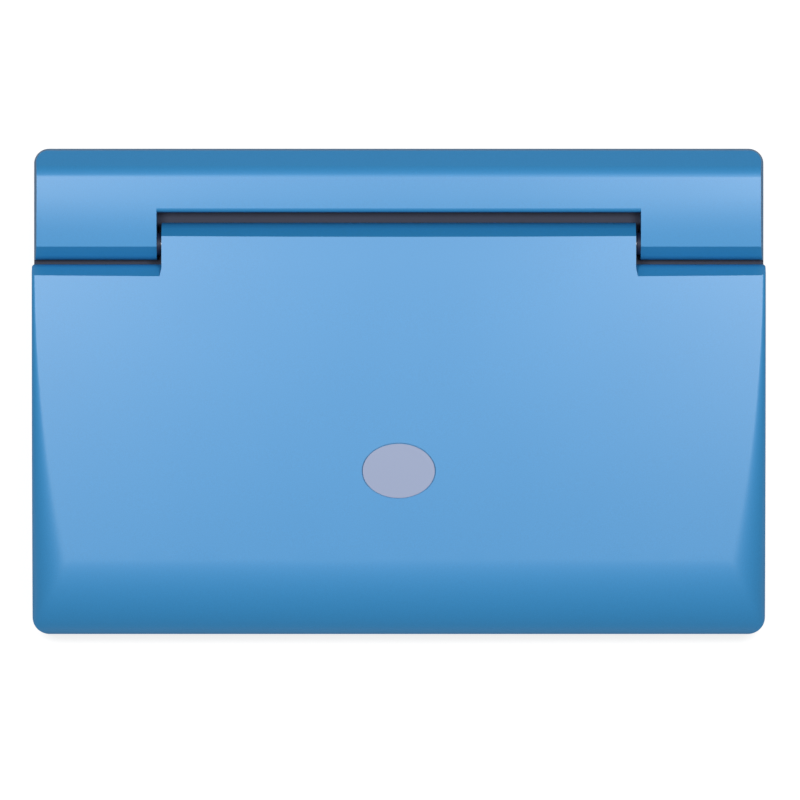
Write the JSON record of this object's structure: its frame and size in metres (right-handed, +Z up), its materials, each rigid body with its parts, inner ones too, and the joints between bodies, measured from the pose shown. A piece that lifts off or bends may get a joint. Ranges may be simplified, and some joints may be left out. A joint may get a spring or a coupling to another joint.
{
  "type": "kids learning laptop",
  "caption": "Closed toy laptop with a satin metallic blue lid that hinges open on a raised rear bar, over letter keys, a number strip, speakers and a battery compartment.",
  "frame": {"origin": "centre of the footprint, on the surface that the feet stand on", "axes": "+X to the right seen by the user, +Y to the hinge at the rear, +Z up"},
  "size_m": [0.3106, 0.206, 0.044],
  "materials": {
    "blue_satin_plastic": "satin metallic blue plastic",
    "blue_plastic": "satin",
    "charcoal_plastic": "fine texture",
    "silicone_rubber": "matt",
    "circuit_board": "solder mask",
    "membrane_film": "satin",
    "orange_plastic": "satin",
    "screw_steel": "plated",
    "cell_jacket": "printed jacket, plain",
    "contact_spring_steel": "nickel plated",
    "speaker_black": "matt",
    "foot_rubber": "matt",
    "pin_steel": "ground",
    "window_acrylic": "gloss, smoked",
    "display_module": "matt",
    "badge_lavender": "satin",
    "bush_nylon": "nylon",
    "cable_sheath": "matt",
    "key_white": "satin",
    "key_teal": "satin",
    "key_green": "satin",
    "key_orange": "satin"
  },
  "bodies": {
    "base": {"base_bottom_shell": "blue_plastic", "base_top_shell": "blue_satin_plastic", "deck_panel": "charcoal_plastic", "key_dome_mat": "silicone_rubber", "keyboard_board": "circuit_board", "main_board": "circuit_board", "number_strip": "membrane_film", "aa_cells": "cell_jacket", "battery_contacts": "contact_spring_steel", "speakers": "speaker_black", "rubber_feet": "foot_rubber", "case_screws": "screw_steel", "hinge_pins": "pin_steel", "cable_in_base": "cable_sheath"},
    "lid": {"lid_back_shell": "blue_satin_plastic", "lid_bezel": "charcoal_plastic", "screen_window": "window_acrylic", "lcd_panel": "display_module", "lid_badge": "badge_lavender", "lid_screws": "screw_steel", "lid_bumpers": "foot_rubber", "hinge_bushes": "bush_nylon", "cable_in_lid": "cable_sheath"},
    "battery_door": {"battery_door": "blue_plastic", "battery_door_screw": "screw_steel"},
    "power_button": {"power_button": "orange_plastic"},
    "key_q": {"key_q": "key_white"},
    "key_w": {"key_w": "key_white"},
    "key_e": {"key_e": "key_white"},
    "key_r": {"key_r": "key_white"},
    "key_t": {"key_t": "key_white"},
    "key_y": {"key_y": "key_white"},
    "key_u": {"key_u": "key_white"},
    "key_i": {"key_i": "key_white"},
    "key_o": {"key_o": "key_white"},
    "key_p": {"key_p": "key_white"},
    "key_backspace": {"key_backspace": "key_orange"},
    "key_a": {"key_a": "key_white"},
    "key_s": {"key_s": "key_white"},
    "key_d": {"key_d": "key_white"},
    "key_f": {"key_f": "key_white"},
    "key_g": {"key_g": "key_white"},
    "key_h": {"key_h": "key_white"},
    "key_j": {"key_j": "key_white"},
    "key_k": {"key_k": "key_white"},
    "key_l": {"key_l": "key_white"},
    "key_enter": {"key_enter": "key_green"},
    "key_shift": {"key_shift": "key_teal"},
    "key_z": {"key_z": "key_white"},
    "key_x": {"key_x": "key_white"},
    "key_c": {"key_c": "key_white"},
    "key_v": {"key_v": "key_white"},
    "key_b": {"key_b": "key_white"},
    "key_n": {"key_n": "key_white"},
    "key_m": {"key_m": "key_white"},
    "key_space": {"key_space": "key_white"},
    "key_up": {"key_up": "key_teal"},
    "key_left": {"key_left": "key_teal"},
    "key_down": {"key_down": "key_teal"},
    "key_right": {"key_right": "key_teal"}
  },
  "joints": [
    {"name": "lid_hinge", "type": "hinge", "parent": "base", "child": "lid", "pos_m": [0, 0.0625, 0.0362], "axis": [-1, 0, 0], "range_deg": [0, 120]},
    {"name": "battery_door_slide", "type": "slide", "parent": "base", "child": "battery_door", "axis": [0, 0, -1], "range_m": [0, 0.025]},
    {"name": "power_button_press", "type": "slide", "parent": "base", "child": "power_button", "axis": [0, 0, -1], "range_m": [0, 0.001], "stiffness_N_per_m": 150, "springref_m": -0.002, "deforming": ["key_dome_mat"]},
    {"name": "key_q_press", "type": "slide", "parent": "base", "child": "key_q", "axis": [0, 0, -1], "range_m": [0, 0.0018], "stiffness_N_per_m": 150, "springref_m": -0.002, "deforming": ["key_dome_mat"]},
    {"name": "key_w_press", "type": "slide", "parent": "base", "child": "key_w", "axis": [0, 0, -1], "range_m": [0, 0.0018], "stiffness_N_per_m": 150, "springref_m": -0.002, "deforming": ["key_dome_mat"]},
    {"name": "key_e_press", "type": "slide", "parent": "base", "child": "key_e", "axis": [0, 0, -1], "range_m": [0, 0.0018], "stiffness_N_per_m": 150, "springref_m": -0.002, "deforming": ["key_dome_mat"]},
    {"name": "key_r_press", "type": "slide", "parent": "base", "child": "key_r", "axis": [0, 0, -1], "range_m": [0, 0.0018], "stiffness_N_per_m": 150, "springref_m": -0.002, "deforming": ["key_dome_mat"]},
    {"name": "key_t_press", "type": "slide", "parent": "base", "child": "key_t", "axis": [0, 0, -1], "range_m": [0, 0.0018], "stiffness_N_per_m": 150, "springref_m": -0.002, "deforming": ["key_dome_mat"]},
    {"name": "key_y_press", "type": "slide", "parent": "base", "child": "key_y", "axis": [0, 0, -1], "range_m": [0, 0.0018], "stiffness_N_per_m": 150, "springref_m": -0.002, "deforming": ["key_dome_mat"]},
    {"name": "key_u_press", "type": "slide", "parent": "base", "child": "key_u", "axis": [0, 0, -1], "range_m": [0, 0.0018], "stiffness_N_per_m": 150, "springref_m": -0.002, "deforming": ["key_dome_mat"]},
    {"name": "key_i_press", "type": "slide", "parent": "base", "child": "key_i", "axis": [0, 0, -1], "range_m": [0, 0.0018], "stiffness_N_per_m": 150, "springref_m": -0.002, "deforming": ["key_dome_mat"]},
    {"name": "key_o_press", "type": "slide", "parent": "base", "child": "key_o", "axis": [0, 0, -1], "range_m": [0, 0.0018], "stiffness_N_per_m": 150, "springref_m": -0.002, "deforming": ["key_dome_mat"]},
    {"name": "key_p_press", "type": "slide", "parent": "base", "child": "key_p", "axis": [0, 0, -1], "range_m": [0, 0.0018], "stiffness_N_per_m": 150, "springref_m": -0.002, "deforming": ["key_dome_mat"]},
    {"name": "key_backspace_press", "type": "slide", "parent": "base", "child": "key_backspace", "axis": [0, 0, -1], "range_m": [0, 0.0018], "stiffness_N_per_m": 150, "springref_m": -0.002, "deforming": ["key_dome_mat"]},
    {"name": "key_a_press", "type": "slide", "parent": "base", "child": "key_a", "axis": [0, 0, -1], "range_m": [0, 0.0018], "stiffness_N_per_m": 150, "springref_m": -0.002, "deforming": ["key_dome_mat"]},
    {"name": "key_s_press", "type": "slide", "parent": "base", "child": "key_s", "axis": [0, 0, -1], "range_m": [0, 0.0018], "stiffness_N_per_m": 150, "springref_m": -0.002, "deforming": ["key_dome_mat"]},
    {"name": "key_d_press", "type": "slide", "parent": "base", "child": "key_d", "axis": [0, 0, -1], "range_m": [0, 0.0018], "stiffness_N_per_m": 150, "springref_m": -0.002, "deforming": ["key_dome_mat"]},
    {"name": "key_f_press", "type": "slide", "parent": "base", "child": "key_f", "axis": [0, 0, -1], "range_m": [0, 0.0018], "stiffness_N_per_m": 150, "springref_m": -0.002, "deforming": ["key_dome_mat"]},
    {"name": "key_g_press", "type": "slide", "parent": "base", "child": "key_g", "axis": [0, 0, -1], "range_m": [0, 0.0018], "stiffness_N_per_m": 150, "springref_m": -0.002, "deforming": ["key_dome_mat"]},
    {"name": "key_h_press", "type": "slide", "parent": "base", "child": "key_h", "axis": [0, 0, -1], "range_m": [0, 0.0018], "stiffness_N_per_m": 150, "springref_m": -0.002, "deforming": ["key_dome_mat"]},
    {"name": "key_j_press", "type": "slide", "parent": "base", "child": "key_j", "axis": [0, 0, -1], "range_m": [0, 0.0018], "stiffness_N_per_m": 150, "springref_m": -0.002, "deforming": ["key_dome_mat"]},
    {"name": "key_k_press", "type": "slide", "parent": "base", "child": "key_k", "axis": [0, 0, -1], "range_m": [0, 0.0018], "stiffness_N_per_m": 150, "springref_m": -0.002, "deforming": ["key_dome_mat"]},
    {"name": "key_l_press", "type": "slide", "parent": "base", "child": "key_l", "axis": [0, 0, -1], "range_m": [0, 0.0018], "stiffness_N_per_m": 150, "springref_m": -0.002, "deforming": ["key_dome_mat"]},
    {"name": "key_enter_press", "type": "slide", "parent": "base", "child": "key_enter", "axis": [0, 0, -1], "range_m": [0, 0.0018], "stiffness_N_per_m": 150, "springref_m": -0.002, "deforming": ["key_dome_mat"]},
    {"name": "key_shift_press", "type": "slide", "parent": "base", "child": "key_shift", "axis": [0, 0, -1], "range_m": [0, 0.0018], "stiffness_N_per_m": 150, "springref_m": -0.002, "deforming": ["key_dome_mat"]},
    {"name": "key_z_press", "type": "slide", "parent": "base", "child": "key_z", "axis": [0, 0, -1], "range_m": [0, 0.0018], "stiffness_N_per_m": 150, "springref_m": -0.002, "deforming": ["key_dome_mat"]},
    {"name": "key_x_press", "type": "slide", "parent": "base", "child": "key_x", "axis": [0, 0, -1], "range_m": [0, 0.0018], "stiffness_N_per_m": 150, "springref_m": -0.002, "deforming": ["key_dome_mat"]},
    {"name": "key_c_press", "type": "slide", "parent": "base", "child": "key_c", "axis": [0, 0, -1], "range_m": [0, 0.0018], "stiffness_N_per_m": 150, "springref_m": -0.002, "deforming": ["key_dome_mat"]},
    {"name": "key_v_press", "type": "slide", "parent": "base", "child": "key_v", "axis": [0, 0, -1], "range_m": [0, 0.0018], "stiffness_N_per_m": 150, "springref_m": -0.002, "deforming": ["key_dome_mat"]},
    {"name": "key_b_press", "type": "slide", "parent": "base", "child": "key_b", "axis": [0, 0, -1], "range_m": [0, 0.0018], "stiffness_N_per_m": 150, "springref_m": -0.002, "deforming": ["key_dome_mat"]},
    {"name": "key_n_press", "type": "slide", "parent": "base", "child": "key_n", "axis": [0, 0, -1], "range_m": [0, 0.0018], "stiffness_N_per_m": 150, "springref_m": -0.002, "deforming": ["key_dome_mat"]},
    {"name": "key_m_press", "type": "slide", "parent": "base", "child": "key_m", "axis": [0, 0, -1], "range_m": [0, 0.0018], "stiffness_N_per_m": 150, "springref_m": -0.002, "deforming": ["key_dome_mat"]},
    {"name": "key_space_press", "type": "slide", "parent": "base", "child": "key_space", "axis": [0, 0, -1], "range_m": [0, 0.0018], "stiffness_N_per_m": 150, "springref_m": -0.002, "deforming": ["key_dome_mat"]},
    {"name": "key_up_press", "type": "slide", "parent": "base", "child": "key_up", "axis": [0, 0, -1], "range_m": [0, 0.0018], "stiffness_N_per_m": 150, "springref_m": -0.002, "deforming": ["key_dome_mat"]},
    {"name": "key_left_press", "type": "slide", "parent": "base", "child": "key_left", "axis": [0, 0, -1], "range_m": [0, 0.0018], "stiffness_N_per_m": 150, "springref_m": -0.002, "deforming": ["key_dome_mat"]},
    {"name": "key_down_press", "type": "slide", "parent": "base", "child": "key_down", "axis": [0, 0, -1], "range_m": [0, 0.0018], "stiffness_N_per_m": 150, "springref_m": -0.002, "deforming": ["key_dome_mat"]},
    {"name": "key_right_press", "type": "slide", "parent": "base", "child": "key_right", "axis": [0, 0, -1], "range_m": [0, 0.0018], "stiffness_N_per_m": 150, "springref_m": -0.002, "deforming": ["key_dome_mat"]}
  ]
}
